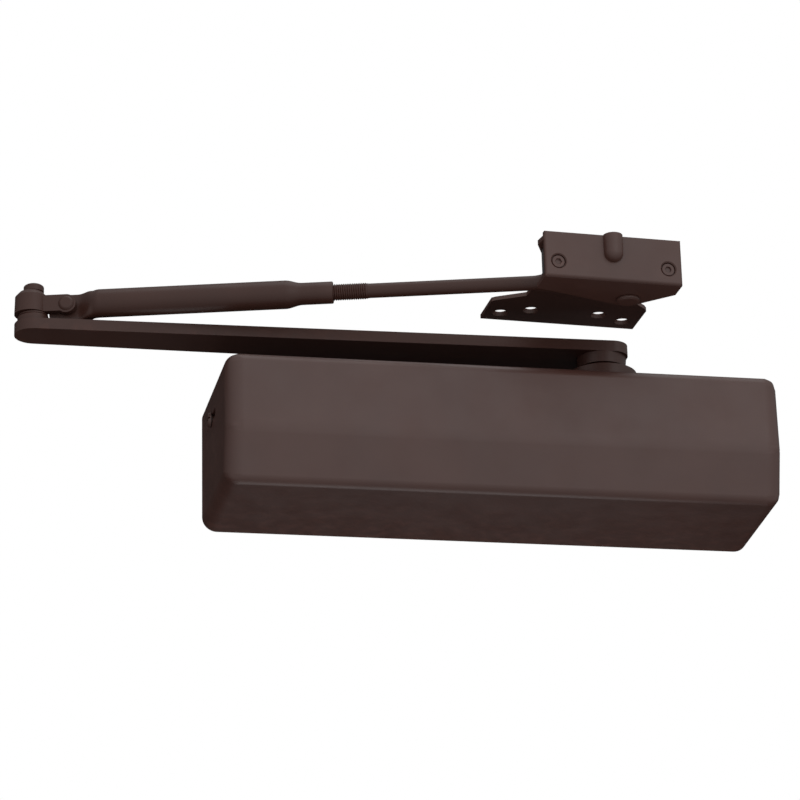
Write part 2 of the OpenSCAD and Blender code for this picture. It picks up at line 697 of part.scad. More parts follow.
// The plate's neck narrows towards the pin and ends in a round nose
module soffit_plate() color(bronze) at_pin() difference() {
    translate([0, 0, housing_top]) union() {
        linear_extrude(plate_t) polygon([
            [plate_left, plate_back], [plate_left, plate_front + 2], [plate_left + 2, plate_front],
            [plate_left + neck_inset, plate_front - neck_rise], [-38, 8], [-30, front_y + 12],
            [14, front_y + 12], [20, 8], [plate_right - neck_inset / 2, plate_front - neck_rise],
            [plate_right - 2, plate_front - 3], [plate_right, plate_front], [plate_right, plate_back]]);
    }
    for (side = [-1, 1], spot = [[outer_span / 2, outer_y], [inner_span / 2, inner_y]])
        translate([plate_mid + side * spot[0], spot[1], housing_top - 1]) {
            cylinder(r = plate_hole_r, h = plate_t + 2);
            translate([0, 0, 1]) cylinder(r1 = plate_sink_r, r2 = plate_hole_r, h = plate_t - 0.4);
        }
    cylinder(r = pin_r, h = 120);
}

module shoe_pin() color(bronze) at_pin() {
    translate([0, 0, housing_bottom - 0.1]) cylinder(r = pin_r - 0.01, h = housing_h + plate_t);
    translate([0, 0, housing_bottom - 1.3]) cylinder(r = pin_head_r, h = 1.3);
    translate([0, 0, housing_bottom - 2.1]) cylinder(r1 = pin_head_r - 1.4, r2 = pin_head_r, h = 0.8);
}

block_y0 = front_y + sheet_t;

module stop_block(x) difference() {
    block([x - block_t / 2, block_y0, housing_bottom + sheet_t],
        [x + block_t / 2, block_y0 + 12, housing_top - sheet_t]);
    translate([x, 0, shoe_screw_z]) bar_y(2.5, block_y0 - 1, block_y0 + 9);
}

module left_stop_block() color(steel) at_pin() stop_block(shoe_screw_xs[0]);
module right_stop_block() color(steel) at_pin() difference() {
    stop_block(shoe_screw_xs[1]);
    cylinder(r = 19, h = 120);
}

module shoe_screws() color(bronze) at_pin() for (x = shoe_screw_xs)
    translate([x, 0, shoe_screw_z]) difference() {
        union() {
            bar_y(2.45, front_y + screw_well, front_y + 10.5);
            bar_y(screw_well_r - 0.5, front_y + screw_well - 1.6, front_y + screw_well);
        }
        bar_y(1.9, front_y - 1, front_y + screw_well - 0.4, $fn = 6);
    }

spring_x = shoe_screw_xs[0] + block_t / 2;
plunger_head = 5;

module stop_plunger() color(steel) at_pin() translate([0, plunger_y, forearm_z]) {
    bar_x(plunger_r, plunger_tip - plunger_head, plunger_tip);
    bar_x(2, spring_x + 6, plunger_tip - plunger_head + 1);
}

module stop_spring() color(spring_steel) at_pin() translate([spring_x, plunger_y, forearm_z])
    coil_spring(plunger_tip - plunger_head - spring_x, 3.4, 0.8, 7, 12, 6);

closer_body();
cover();
cover_brackets();
bracket_screws();
cover_screws();
left_end_plug();
right_end_plug();
end_seals();
upper_bearing();
lower_bearing();
upper_spindle_cap();
lower_spindle_cap();
spindle_seal();
spindle();
piston();
piston_ring();
check_valve();
outer_spring();
inner_spring();
spring_seat();
power_screw();
sweep_valve();
latch_valve();
backcheck_valve();
dust_skirt();
main_arm();
arm_screw();
elbow_stud();
elbow_washer();
elbow_cap();
elbow_knuckle();
tongue_rivet();
forearm_tube();
forearm_rod();
pin_bushing();
shoe_housing();
soffit_plate();
shoe_pin();
left_stop_block();
right_stop_block();
shoe_screws();
stop_plunger();
stop_spring();
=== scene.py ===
"""Looks of a surface door closer: dark bronze painted cover, arms and soffit shoe."""
import json
import math

import bmesh
import bpy
from mathutils import Matrix, Vector


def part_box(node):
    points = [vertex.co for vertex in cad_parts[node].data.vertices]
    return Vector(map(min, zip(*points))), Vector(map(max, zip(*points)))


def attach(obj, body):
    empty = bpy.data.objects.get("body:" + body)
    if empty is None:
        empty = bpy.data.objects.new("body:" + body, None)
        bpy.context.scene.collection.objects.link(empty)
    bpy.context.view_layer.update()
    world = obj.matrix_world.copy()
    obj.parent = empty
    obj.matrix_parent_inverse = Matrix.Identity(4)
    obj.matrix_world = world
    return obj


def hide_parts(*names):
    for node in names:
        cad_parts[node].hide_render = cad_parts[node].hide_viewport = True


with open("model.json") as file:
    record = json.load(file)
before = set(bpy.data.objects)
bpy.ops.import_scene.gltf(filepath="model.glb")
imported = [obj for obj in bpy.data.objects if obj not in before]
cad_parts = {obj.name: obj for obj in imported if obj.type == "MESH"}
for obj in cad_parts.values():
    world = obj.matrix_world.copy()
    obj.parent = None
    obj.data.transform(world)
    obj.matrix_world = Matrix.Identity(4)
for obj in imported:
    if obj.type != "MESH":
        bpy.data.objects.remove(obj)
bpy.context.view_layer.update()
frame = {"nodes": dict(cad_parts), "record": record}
MM = 0.001


# ---------- places taken from the frame ----------

JOINTS = {j["name"]: j for j in frame["record"]["behaviour"]["joints"]}
COVER_LOW, COVER_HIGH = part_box("cover")
HOUSING_LOW, HOUSING_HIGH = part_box("shoe_housing")
PLATE_LOW, PLATE_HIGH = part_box("soffit_plate")
STUD_LOW, STUD_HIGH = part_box("elbow_stud")
SPINDLE = Vector(JOINTS["spindle_turn"]["pos_m"])
ELBOW = Vector(JOINTS["elbow_turn"]["pos_m"])
PIN = Vector(JOINTS["shoe_turn"]["pos_m"])
RIVET = Vector(JOINTS["forearm_tilt"]["pos_m"])
FOREARM_AXIS = Vector(JOINTS["rod_slide"]["axis"])
SHOE_LEFT = Vector(JOINTS["plunger_slide"]["axis"])


def turned_frame(origin, x_axis):
    """A frame with X along x_axis and Z up."""
    x = x_axis.normalized()
    z = Vector((0, 0, 1))
    y = z.cross(x)
    rotation = Matrix((x, y, z)).transposed().to_4x4()
    return Matrix.Translation(origin) @ rotation


ON_FOREARM = turned_frame(ELBOW.xy.to_3d(), FOREARM_AXIS)
ON_SHOE = turned_frame(PIN.xy.to_3d(), -SHOE_LEFT)
FOREARM_Z = PIN.z
FOREARM_LENGTH = (PIN.xy - ELBOW.xy).length


# ---------- node materials ----------

def node(tree, kind, **inputs):
    made = tree.nodes.new(kind)
    for name, value in inputs.items():
        made.inputs[name.replace("_", " ")].default_value = value
    return made


def noise(tree, where, scale, detail):
    made = node(tree, "ShaderNodeTexNoise", Scale=scale, Detail=detail)
    tree.links.new(where, made.inputs["Vector"])
    return made.outputs["Fac"]


def ramp(tree, fac, low, high, low_value, high_value):
    made = node(tree, "ShaderNodeMapRange", From_Min=low, From_Max=high,
                To_Min=low_value, To_Max=high_value)
    tree.links.new(fac, made.inputs["Value"])
    return made.outputs["Result"]


def blend_colour(tree, fac, a, b):
    made = tree.nodes.new("ShaderNodeMix")
    made.data_type = "RGBA"
    for socket, value in ((made.inputs["A"], a), (made.inputs["B"], b)):
        if isinstance(value, tuple):
            socket.default_value = (*value, 1)
        else:
            tree.links.new(value, socket)
    tree.links.new(fac, made.inputs["Factor"])
    return made.outputs["Result"]


def multiply(tree, a, b):
    made = tree.nodes.new("ShaderNodeMath")
    made.operation = "MULTIPLY"
    tree.links.new(a, made.inputs[0])
    tree.links.new(b, made.inputs[1])
    return made.outputs[0]


def start_material(name):
    material = bpy.data.materials.new(name)
    material.use_nodes = True
    tree = material.node_tree
    where = tree.nodes.new("ShaderNodeTexCoord").outputs["Object"]
    return material, tree, tree.nodes["Principled BSDF"], where


def add_bump(tree, shader, height, strength, distance):
    bump = node(tree, "ShaderNodeBump", Strength=strength, Distance=distance)
    tree.links.new(height, bump.inputs["Height"])
    tree.links.new(bump.outputs["Normal"], shader.inputs["Normal"])


def bronze_paint(name, tone, roughness, shine):
    """Baked dark bronze enamel: fine orange peel, cloudy tone and rubbed edges."""
    material, tree, shader, where = start_material(name)
    shader.inputs["IOR"].default_value = 1.5
    shader.inputs["Specular IOR Level"].default_value = shine
    shader.inputs["Coat Weight"].default_value = 0.12
    shader.inputs["Coat Roughness"].default_value = 0.3
    clouds = ramp(tree, noise(tree, where, 22, 4), 0.35, 0.65, 0, 1)
    deep = tuple(c * 0.95 for c in tone)
    warm = (tone[0] * 1.06, tone[1] * 1.04, tone[2] * 1.02)
    colour = blend_colour(tree, clouds, deep, warm)
    pointiness = tree.nodes.new("ShaderNodeNewGeometry").outputs["Pointiness"]
    edge = ramp(tree, pointiness, 0.53, 0.6, 0, 0.4)
    scuffs = ramp(tree, noise(tree, where, 160, 5), 0.45, 0.7, 0, 1)
    worn = multiply(tree, edge, scuffs)
    rubbed = tuple(c * 2.1 for c in tone)
    tree.links.new(blend_colour(tree, worn, colour, rubbed), shader.inputs["Base Color"])
    patches = ramp(tree, noise(tree, where, 60, 3), 0.3, 0.7, roughness - 0.05, roughness + 0.06)
    tree.links.new(patches, shader.inputs["Roughness"])
    add_bump(tree, shader, noise(tree, where, 900, 2), 0.12, 0.00012)
    return material


def cast_metal(name, tone):
    """Die-cast metal with a grainy skin and cloudy oxide."""
    material, tree, shader, where = start_material(name)
    shader.inputs["Metallic"].default_value = 0.85
    clouds = ramp(tree, noise(tree, where, 35, 4), 0.3, 0.7, 0, 1)
    dark = tuple(c * 0.7 for c in tone)
    tree.links.new(blend_colour(tree, clouds, dark, tone), shader.inputs["Base Color"])
    tree.links.new(ramp(tree, clouds, 0, 1, 0.6, 0.48), shader.inputs["Roughness"])
    add_bump(tree, shader, noise(tree, where, 700, 4), 0.35, 0.0003)
    return material


def turned_metal(name, tone, roughness):
    """Machined metal with fine tool lines and a little staining."""
    material, tree, shader, where = start_material(name)
    shader.inputs["Metallic"].default_value = 1.0
    stretch = node(tree, "ShaderNodeMapping", Scale=(1, 1, 14))
    tree.links.new(where, stretch.inputs["Vector"])
    lines = noise(tree, stretch.outputs["Vector"], 160, 4)
    stains = ramp(tree, noise(tree, where, 45, 4), 0.35, 0.7, 0, 1)
    dark = tuple(c * 0.72 for c in tone)
    tree.links.new(blend_colour(tree, stains, dark, tone), shader.inputs["Base Color"])
    gloss = ramp(tree, lines, 0.3, 0.7, roughness - 0.08, roughness + 0.1)
    tree.links.new(gloss, shader.inputs["Roughness"])
    add_bump(tree, shader, lines, 0.15, 0.0001)
    return material


def seal_rubber(name):
    """Black rubber with pale dust."""
    material, tree, shader, where = start_material(name)
    dust = ramp(tree, noise(tree, where, 120, 5), 0.4, 0.75, 0, 1)
    tree.links.new(blend_colour(tree, dust, (0.012, 0.012, 0.012), (0.04, 0.038, 0.036)),
                   shader.inputs["Base Color"])
    tree.links.new(ramp(tree, dust, 0, 1, 0.55, 0.8), shader.inputs["Roughness"])
    add_bump(tree, shader, noise(tree, where, 1500, 2), 0.2, 0.0001)
    return material


MATERIALS = {
    "cover_paint": bronze_paint("bronze_cover", (0.059, 0.024, 0.0185), 0.43, 0.5),
    "arm_paint": bronze_paint("bronze_arm", (0.046, 0.018, 0.013), 0.42, 0.27),
    "shoe_paint": bronze_paint("bronze_shoe", (0.058, 0.023, 0.017), 0.42, 0.45),
    "cast_body": cast_metal("cast_aluminium", (0.46, 0.46, 0.47)),
    "steel": turned_metal("turned_steel", (0.55, 0.55, 0.56), 0.32),
    "spring_steel": turned_metal("oiled_spring_steel", (0.2, 0.2, 0.22), 0.38),
    "brass": turned_metal("turned_brass", (0.72, 0.52, 0.24), 0.3),
    "seal_rubber": seal_rubber("seal_rubber"),
}
SLOT_OF = {s["node"]: s["material_slot"] for s in frame["record"]["subparts"]}
BODIES = frame["record"]["behaviour"]["bodies"]
BODY_OF = {n: body for body, names in BODIES.items() for n in names}

for name, part in frame["nodes"].items():
    part.data.materials.clear()
    part.data.materials.append(MATERIALS[SLOT_OF[name]])


# ---------- mesh helpers ----------

JOIN_DISTANCE = 0.002 * MM
FLAT_ANGLE = math.radians(0.6)
SHARP_ANGLE = math.radians(28)


def new_piece(name, mesh, *nodes, slot=None):
    """Puts a mesh in the scene as a piece that stands for CAD nodes and rides with the first."""
    piece = bpy.data.objects.new(name, mesh)
    bpy.context.scene.collection.objects.link(piece)
    piece_slot = slot or SLOT_OF[nodes[0]]
    mesh.materials.clear()
    mesh.materials.append(MATERIALS[piece_slot])
    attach(piece, BODY_OF[nodes[0]])
    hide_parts(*nodes)
    return piece


def baked(mesh, *modifiers, helpers=()):
    """Returns a new mesh with modifiers applied. Each modifier is (kind, settings)."""
    work = bpy.data.objects.new("work", mesh)
    bpy.context.scene.collection.objects.link(work)
    for kind, settings in modifiers:
        modifier = work.modifiers.new(kind.lower(), kind)
        for key, value in settings.items():
            setattr(modifier, key, value)
    bpy.context.view_layer.update()
    graph = bpy.context.evaluated_depsgraph_get()
    result = bpy.data.meshes.new_from_object(work.evaluated_get(graph))
    for extra in (work, *helpers):
        bpy.data.objects.remove(extra)
    return result


def smooth(mesh, angle):
    mesh.polygons.foreach_set("use_smooth", [True] * len(mesh.polygons))
    mesh.set_sharp_from_angle(angle=math.radians(angle))
    return mesh


def from_bmesh(bm):
    bmesh.ops.recalc_face_normals(bm, faces=bm.faces)
    mesh = bpy.data.meshes.new("shape")
    bm.to_mesh(mesh)
    bm.free()
    return mesh


def rejoined(mesh):
    """A bmesh of a mesh with its flat faces joined again."""
    bm = bmesh.new()
    bm.from_mesh(mesh)
    bmesh.ops.remove_doubles(bm, verts=bm.verts, dist=JOIN_DISTANCE)
    bmesh.ops.dissolve_limit(bm, angle_limit=FLAT_ANGLE, verts=bm.verts, edges=bm.edges)
    return bm


def weight_layer(bm):
    layers = bm.edges.layers.float
    return layers.get("bevel_weight_edge") or layers.new("bevel_weight_edge")


def set_bevel_weights(bm, weight_of):
    """Gives each sharp edge the weight that weight_of says."""
    layer = weight_layer(bm)
    for edge in bm.edges:
        if len(edge.link_faces) == 2 and edge.calc_face_angle(0) > SHARP_ANGLE:
            edge[layer] = weight_of(edge)


def bevel(width, segments):
    return ("BEVEL", {"width": width, "segments": segments, "limit_method": "WEIGHT",
                      "use_clamp_overlap": True, "miter_outer": "MITER_ARC", "profile": 0.5})


WEIGHTED = ("WEIGHTED_NORMAL", {"keep_sharp": True, "weight": 60})


def softened(name, width, segments=3, weight_of=lambda edge: 1.0):
    """A CAD node's shape with its sharp edges rounded, as a new piece."""
    bm = rejoined(frame["nodes"][name].data)
    set_bevel_weights(bm, weight_of)
    mesh = baked(from_bmesh(bm), bevel(width, segments))
    new_piece("soft_" + name, baked(smooth(mesh, 38), WEIGHTED), name)


def loft(rings):
    """A closed mesh through rings of points, each ring with the same number."""
    bm = bmesh.new()
    rows = [[bm.verts.new(p) for p in ring] for ring in rings]
    count = len(rows[0])
    for low, high in zip(rows, rows[1:]):
        for i in range(count):
            bm.faces.new((low[i], low[(i + 1) % count], high[(i + 1) % count], high[i]))
    bm.faces.new(rows[0][::-1])
    bm.faces.new(rows[-1])
    return from_bmesh(bm)


def plate_of(outline, low, high):
    """A flat outline in X and Y, raised from low to high."""
    return loft([[(x, y, z) for x, y in outline] for z in (low, high)])


def circle(radius, count):
    """Points of a circle about the origin."""
    for i in range(count):
        a = 2 * math.pi * i / count
        yield radius * math.cos(a), radius * math.sin(a)


def placed(mesh, matrix):
    mesh.transform(matrix)
    return mesh


def ease(t):
    t = min(1.0, max(0.0, t))
    return t * t * (3 - 2 * t)


def between(a, b, t):
    return a + (b - a) * t


def squircle(half_y, half_z, power, count):
    """Points of a rounded rectangle about the origin, in Y and Z. A power of 2 is an ellipse."""
    for i in range(count):
        a = 2 * math.pi * i / count
        c, s = math.cos(a), math.sin(a)
        yield (half_y * math.copysign(abs(c) ** (2 / power), c),
               half_z * math.copysign(abs(s) ** (2 / power), s))


def cutter(mesh):
    helper = bpy.data.objects.new("cutter", mesh)
    bpy.context.scene.collection.objects.link(helper)
    return helper


def cut_by(helper, operation="DIFFERENCE"):
    return ("BOOLEAN", {"object": helper, "operation": operation, "solver": "EXACT"})


def round_cutter(radius, low, high, centre, axis="Z", count=64):
    """A cutter from low to high along an axis through centre."""
    bm = bmesh.new()
    bmesh.ops.create_cone(bm, cap_ends=True, segments=count, radius1=radius, radius2=radius,
                          depth=high - low)
    mesh = from_bmesh(bm)
    mesh.transform(Matrix.Translation((0, 0, (low + high) / 2)))
    if axis == "Y":
        mesh.transform(Matrix.Rotation(-math.pi / 2, 4, "X"))
    mesh.transform(Matrix.Translation(centre))
    return cutter(mesh)


# ---------- the cover ----------

COVER_WALL = 2.2 * MM
TOP_DEPTH = 91.2 * MM
BOTTOM_DEPTH = 84 * MM
CREASE_HEIGHT = 30.5 * MM
END_DRAFT = 2.4 * MM
END_EDGE = 10 * MM
TOP_EDGE = 6 * MM
CREASE_EDGE = 4 * MM
BOTTOM_EDGE = 4.6 * MM
END_TOP_EDGE = 6.5 * MM
END_BOTTOM_EDGE = 8.5 * MM
NOTCH_RADIUS = 18 * MM
SLOT_NEAR = 21 * MM
SLOT_FAR = 51 * MM
SLOT_HALF = 2.6 * MM
SLOT_HEIGHT = 18 * MM
CUT_PAST = 12 * MM


def cover_block():
    """The cover as a solid block, open at the back, with bevel weights on the edges for its big
    roundings.
    """
    back = COVER_HIGH.y
    crease_z = COVER_LOW.z + CREASE_HEIGHT
    profile = [(back, COVER_HIGH.z), (-TOP_DEPTH, COVER_HIGH.z), (COVER_LOW.y, crease_z),
               (-BOTTOM_DEPTH, COVER_LOW.z), (back, COVER_LOW.z)]
    bm = bmesh.new()
    ends = []
    for side in (-1, 1):
        ends.append([bm.verts.new((side * (COVER_HIGH.x + END_DRAFT * y / -COVER_LOW.y), y, z))
                     for y, z in profile])
    count = len(profile)
    for i in range(count - 1):
        bm.faces.new((ends[0][i], ends[0][i + 1], ends[1][i + 1], ends[1][i]))
    bm.faces.new(ends[0])
    bm.faces.new(ends[1][::-1])
    along = dict(zip(range(1, count - 1), (TOP_EDGE, CREASE_EDGE, BOTTOM_EDGE)))
    around = [END_TOP_EDGE, END_EDGE, END_EDGE, END_BOTTOM_EDGE]
    layer = weight_layer(bm)
    for edge in bm.edges:
        spots = sorted((e, row.index(v)) for v in edge.verts for e, row in enumerate(ends) if v in row)
        (end_a, a), (end_b, b) = spots
        if end_a != end_b:
            edge[layer] = along.get(a, 0) / END_EDGE
        elif abs(a - b) == 1:
            edge[layer] = around[min(a, b)] / END_EDGE
    return from_bmesh(bm)


def slot_mesh(side):
    """A round-ended slot through one end of the cover."""
    outline = []
    half_turn = 16
    for centre, start in ((-SLOT_NEAR - SLOT_HALF, -90), (-SLOT_FAR + SLOT_HALF, 90)):
        for i in range(half_turn + 1):
            a = math.radians(start + 180 * i / half_turn)
            outline.append((centre + SLOT_HALF * math.cos(a), SLOT_HEIGHT + SLOT_HALF * math.sin(a)))
    return loft([[(side * x, y, z) for y, z in outline]
                 for x in (COVER_HIGH.x - CUT_PAST, COVER_HIGH.x + CUT_PAST)])


def notch_mesh():
    """The cover's opening for the spindle: round in front, open to the back."""
    outline = [(SPINDLE.x + NOTCH_RADIUS * math.cos(math.radians(a)),
                SPINDLE.y + NOTCH_RADIUS * math.sin(math.radians(a))) for a in range(180, 361, 5)]
    outline += [(SPINDLE.x + x, COVER_HIGH.y + CUT_PAST) for x in (NOTCH_RADIUS, -NOTCH_RADIUS)]
    return plate_of(outline, 0, 2 * COVER_HIGH.z)


def make_cover():
    block = baked(cover_block(), bevel(END_EDGE, 10))
    helpers = [cutter(notch_mesh()), cutter(slot_mesh(-1)), cutter(slot_mesh(1))]
    shell = ("SOLIDIFY", {"thickness": COVER_WALL, "offset": -1, "use_even_offset": True})
    mesh = baked(block, shell, *[cut_by(h) for h in helpers], helpers=helpers)
    bm = bmesh.new()
    bm.from_mesh(mesh)
    bmesh.ops.remove_doubles(bm, verts=bm.verts, dist=0.01 * MM)
    return new_piece("cover_shell", baked(smooth(from_bmesh(bm), 30), WEIGHTED), "cover")


make_cover()


# ---------- the forearm's tube and rod ----------

TUBE_RADIUS = 8.1 * MM
NECK_RADIUS = 6.3 * MM
FLAT_HALF = 8.3 * MM
FLAT_DROP = 0.7 * MM
FLAT_BACK = 10.4 * MM
FLAT_CORNER = 4 * MM
FLAT_THICK = 5 * MM
FLAT_INNER = 0.1 * MM
FLAT_END = 25.2 * MM
ROUND_START = 38 * MM
TAPER_START = 143.5 * MM
NECK_START = 153 * MM
NECK_END = 170.6 * MM
RIVET_HOLE = 3.25 * MM
BORE_CLEARANCE = 0.06 * MM
BORE_DEPTH = 60 * MM
THREAD_RADIUS = 4.7 * MM
THREAD_DEPTH = 0.6 * MM
THREAD_PITCH = 1.25 * MM
THREAD_START = 158 * MM
THREAD_END = 191.2 * MM
THREAD_FADE = 2.5 * MM
ROD_RADIUS = 4.15 * MM
HIDDEN_ROD = 40 * MM
BLADE_START = 283 * MM
BLADE_EASE = 18 * MM
BLADE_STEP = 2 * MM
BLADE_HALF_WIDTH = 8 * MM
BLADE_HALF_HEIGHT = 5 * MM
EYE_RADIUS = 10 * MM
EYE_HALF = 8 * MM
EYE_HOLE = 7 * MM
LUG_HALF = 4 * MM
RIVET_U = (RIVET.xy - ELBOW.xy).length


def tube_ring(u, count):
    """One cross-section of the forearm tube, from its flat eye to its round bore."""
    flat_centre = FLAT_INNER + FLAT_THICK / 2
    if u < FLAT_END:
        t = 0
        short = max(0.0, RIVET_U - FLAT_BACK + FLAT_CORNER - u)
        half_z = FLAT_HALF - FLAT_CORNER + math.sqrt(max(0.0, FLAT_CORNER ** 2 - short ** 2))
    else:
        t = ease((u - FLAT_END) / (ROUND_START - FLAT_END))
        half_z = between(FLAT_HALF, TUBE_RADIUS, t)
    half_y = between(FLAT_THICK / 2, TUBE_RADIUS, t)
    if u > TAPER_START:
        narrow = ease((u - TAPER_START) / (NECK_START - TAPER_START))
        half_y = half_z = between(TUBE_RADIUS, NECK_RADIUS, narrow)
    power = between(7, 2, min(1, t * 1.3))
    y0 = between(flat_centre, 0, t)
    z0 = between(RIVET.z - FLAT_DROP, FOREARM_Z, t)
    return [(u, y0 + y, z0 + z) for y, z in squircle(half_y, half_z, power, count)]


def round_ring(u, radius, count):
    return [(u, y, FOREARM_Z + z) for y, z in circle(radius, count)]


def make_tube():
    first = RIVET_U - FLAT_BACK
    eye = [first + FLAT_CORNER * (1 - math.cos(math.radians(a))) for a in range(0, 91, 10)]
    middle = [between(eye[-1], FLAT_END, i / 3) for i in range(1, 4)]
    swage = [between(FLAT_END, ROUND_START, i / 14) for i in range(1, 15)]
    body = [between(ROUND_START, TAPER_START, i / 6) for i in range(1, 7)]
    taper = [between(TAPER_START, NECK_START, i / 10) for i in range(1, 11)]
    neck = [NECK_START + 8 * MM, NECK_END - 0.5 * MM]
    count = 56
    rings = [tube_ring(u, count) for u in eye + middle + swage + body + taper + neck]
    bore = THREAD_RADIUS + BORE_CLEARANCE
    rings += [round_ring(NECK_END - 0.15 * MM, NECK_RADIUS - 0.15 * MM, count),
              round_ring(NECK_END, NECK_RADIUS - 0.5 * MM, count),
              round_ring(NECK_END, bore, count),
              round_ring(NECK_END - BORE_DEPTH, bore, count)]
    hole = round_cutter(RIVET_HOLE, -2 * TUBE_RADIUS, 2 * TUBE_RADIUS, (RIVET_U, 0, RIVET.z), "Y", 40)
    mesh = baked(loft(rings), cut_by(hole), helpers=[hole])
    new_piece("swaged_tube", placed(smooth(mesh, 40), ON_FOREARM), "forearm_tube")


def thread_radius(u, angle):
    """Distance of the rod's surface from its axis: a helical thread that fades out at its end."""
    phase = (u / THREAD_PITCH - angle / (2 * math.pi)) % 1.0
    groove = max(0.0, 1 - abs(phase - 0.5) * 2.6)
    fade = 1 - ease((u - THREAD_END + THREAD_FADE) / THREAD_FADE)
    crest = between(ROD_RADIUS, THREAD_RADIUS, fade)
    return crest - THREAD_DEPTH * groove * fade


def blade_ring(u, count):
    """The rod's end, flattened towards the eye."""
    t = ease((u - BLADE_START) / BLADE_EASE)
    half_y = between(ROD_RADIUS, BLADE_HALF_WIDTH, t)
    half_z = between(ROD_RADIUS, BLADE_HALF_HEIGHT, t)
    power = between(2, 5, t)
    return [(u, y, FOREARM_Z + z) for y, z in squircle(half_y, half_z, power, count)]


def make_rod():
    count = 36
    step = THREAD_PITCH / 8
    rings = [round_ring(THREAD_START - HIDDEN_ROD, ROD_RADIUS - 0.4 * MM, count)]
    for i in range(int((THREAD_END - THREAD_START) / step) + 1):
        u = THREAD_START + i * step
        ring = []
        for k in range(count):
            a = 2 * math.pi * k / count
            r = thread_radius(u, a)
            ring.append((u, r * math.cos(a), FOREARM_Z + r * math.sin(a)))
        rings.append(ring)
    plain = (THREAD_END + 1 * MM, THREAD_END + HIDDEN_ROD, BLADE_START)
    blade = [BLADE_START + i * BLADE_STEP for i in range(1, 24)]
    rings += [blade_ring(u, count) for u in (*plain, *blade)]
    centre = (FOREARM_LENGTH, 0, 0)
    eye = round_cutter(EYE_RADIUS, FOREARM_Z - EYE_HALF, FOREARM_Z + EYE_HALF, centre)
    lug_rings = []
    for u, half_width in ((0, 6), (12, 4.2), (15.5, 3.4), (17.6, 1.8)):
        lug_rings.append([(FOREARM_LENGTH + u * MM, y, FOREARM_Z + z)
                          for y, z in squircle(half_width * MM, LUG_HALF, 5, 32)])
    lug = cutter(loft(lug_rings))
    hole = round_cutter(EYE_HOLE, 0, 2 * FOREARM_Z, centre)
    mesh = baked(loft(rings), cut_by(eye, "UNION"), cut_by(lug, "UNION"), cut_by(hole),
                 helpers=[eye, lug, hole])
    new_piece("threaded_rod", placed(smooth(mesh, 50), ON_FOREARM), "forearm_rod")


make_tube()
make_rod()


# ---------- parts whose CAD shape only needs soft edges ----------

for part_name, edge_width in (
        ("main_arm", 0.9 * MM), ("dust_skirt", 0.3 * MM), ("upper_spindle_cap", 0.4 * MM),
        ("arm_screw", 0.25 * MM), ("elbow_stud", 0.4 * MM), ("elbow_cap", 0.5 * MM),
        ("elbow_knuckle", 0.8 * MM), ("tongue_rivet", 0.5 * MM), ("elbow_washer", 0.15 * MM),
        ("shoe_pin", 0.4 * MM), ("shoe_screws", 0.25 * MM), ("cover_screws", 0.3 * MM)):
    softened(part_name, edge_width)


def upright(edge):
    """Whether an edge runs along Z."""
    a, b = (v.co for v in edge.verts)
    return (a - b).xy.length < 0.01 * MM


softened("soffit_plate", 1.3 * MM, 4, lambda edge: 1.0 if upright(edge) else 0.3)


# ---------- the shoe's housing ----------

SHEET = 3 * MM
WALL_TOP = HOUSING_HIGH.z
FLANGE_TOP = PLATE_LOW.z
SHOE_MID = -14.8 * MM
SHOE_LEFT_X = -54.4 * MM
SHOE_RIGHT_X = 24.8 * MM
SHOE_FRONT = -23.9 * MM
LEFT_DEPTH = 18 * MM
RIGHT_DEPTH = 14 * MM
EAR_DEPTH = 8.6 * MM
EAR_REACH = 1.4 * MM
NOSE_RADIUS = 9.8 * MM
BOTTOM_BEND = 3.4 * MM
SIDE_BEND = 2.4 * MM
BOSS_RADIUS = 5.5 * MM
BOSS_BOTTOM = FOREARM_Z + 4 * MM
SCREW_X = (SHOE_MID - 31.7 * MM, SHOE_MID + 31.7 * MM)
SCREW_Z = FOREARM_Z - 3 * MM
WELL_RADIUS = 4.1 * MM
WELL_DEPTH = 2.4 * MM
WELL_HOLE = 2.5 * MM
WELL_LIP = 1 * MM
PIN_HOLE = 5 * MM


def flange_outline(left_edge):
    nose = [(NOSE_RADIUS * math.cos(math.radians(a)), NOSE_RADIUS * math.sin(math.radians(a)))
            for a in range(106, 49, -4)]
    return [(SHOE_LEFT_X, SHOE_FRONT), *left_edge, *nose,
            (SHOE_RIGHT_X, SHOE_FRONT + RIGHT_DEPTH), (SHOE_RIGHT_X, SHOE_FRONT)]


def turned_cutter(profile, x, z):
    """A round cutter along Y at x, z. The profile is pairs of radius and Y."""
    return cutter(loft([[(x + across, y, z + up) for across, up in circle(r, 48)] for r, y in profile]))


def boss_mesh():
    """The pressed half-round boss, round at its lower end."""
    rings = []
    for a in range(5, 91, 8):
        turn = math.radians(a)
        rings.append((BOSS_RADIUS * math.sin(turn), BOSS_BOTTOM - BOSS_RADIUS * math.cos(turn)))
    rings += [(BOSS_RADIUS, BOSS_BOTTOM + 3 * MM), (BOSS_RADIUS, WALL_TOP)]
    return loft([[(SHOE_MID + x, SHOE_FRONT + y, z) for x, y in circle(r, 64)] for r, z in rings])


